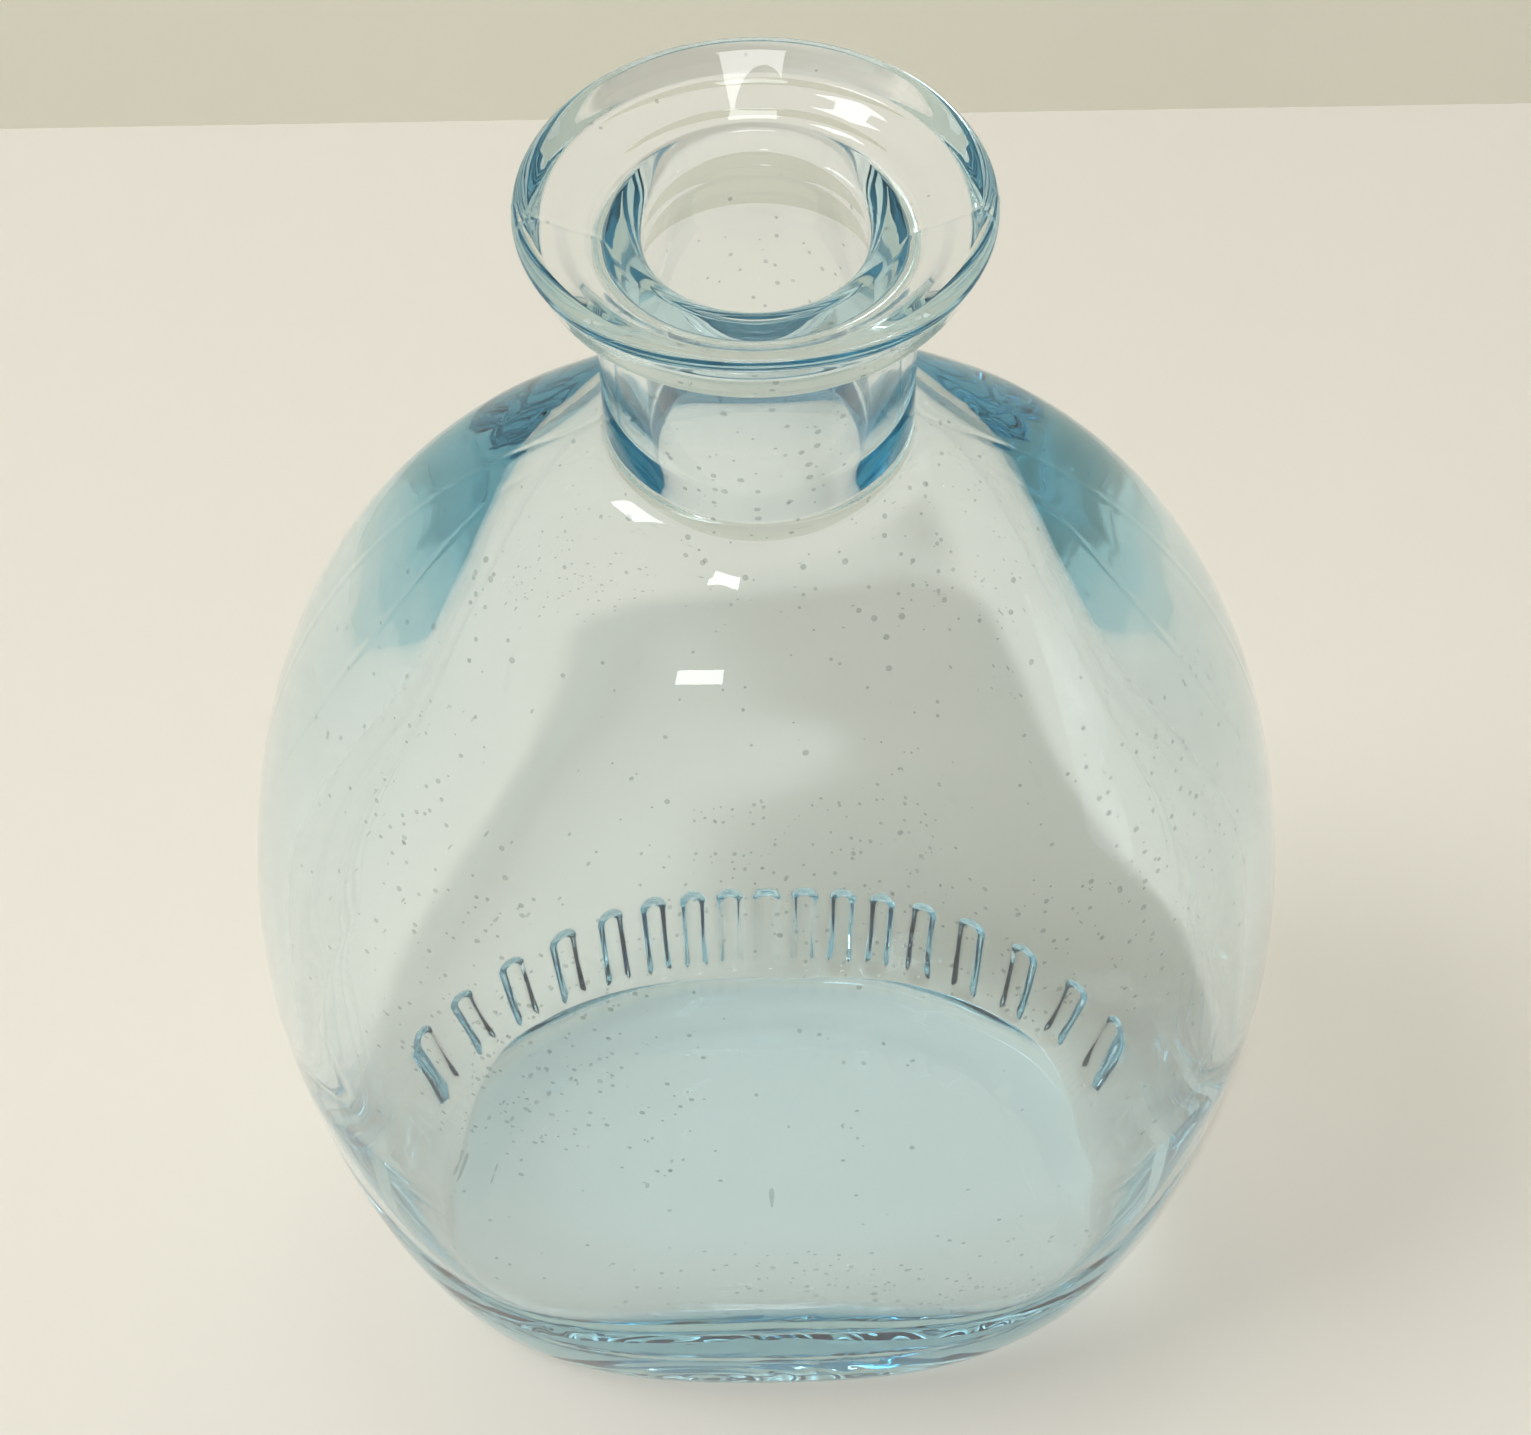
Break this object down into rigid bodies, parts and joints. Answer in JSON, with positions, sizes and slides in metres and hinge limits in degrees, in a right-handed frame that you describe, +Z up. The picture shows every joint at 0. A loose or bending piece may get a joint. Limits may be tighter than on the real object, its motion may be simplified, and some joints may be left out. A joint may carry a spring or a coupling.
{
  "type": "tequila bottle",
  "caption": "Flattened spirits bottle of thick pale blue glass with an oval foot, a short round neck, a wide dished lip and a row of raised beads low on the back.",
  "frame": {"origin": "middle of the flat ring that the bottle stands on", "axes": "+Z up along the neck, X along the wide side of the body, +Y towards the back, where the beads are"},
  "size_m": [0.1232, 0.0812, 0.188],
  "materials": {
    "blue_glass": "clear polished moulded glass, pale blue where it is thick"
  },
  "bodies": {
    "root": {"bottle": "blue_glass"}
  },
  "joints": []
}
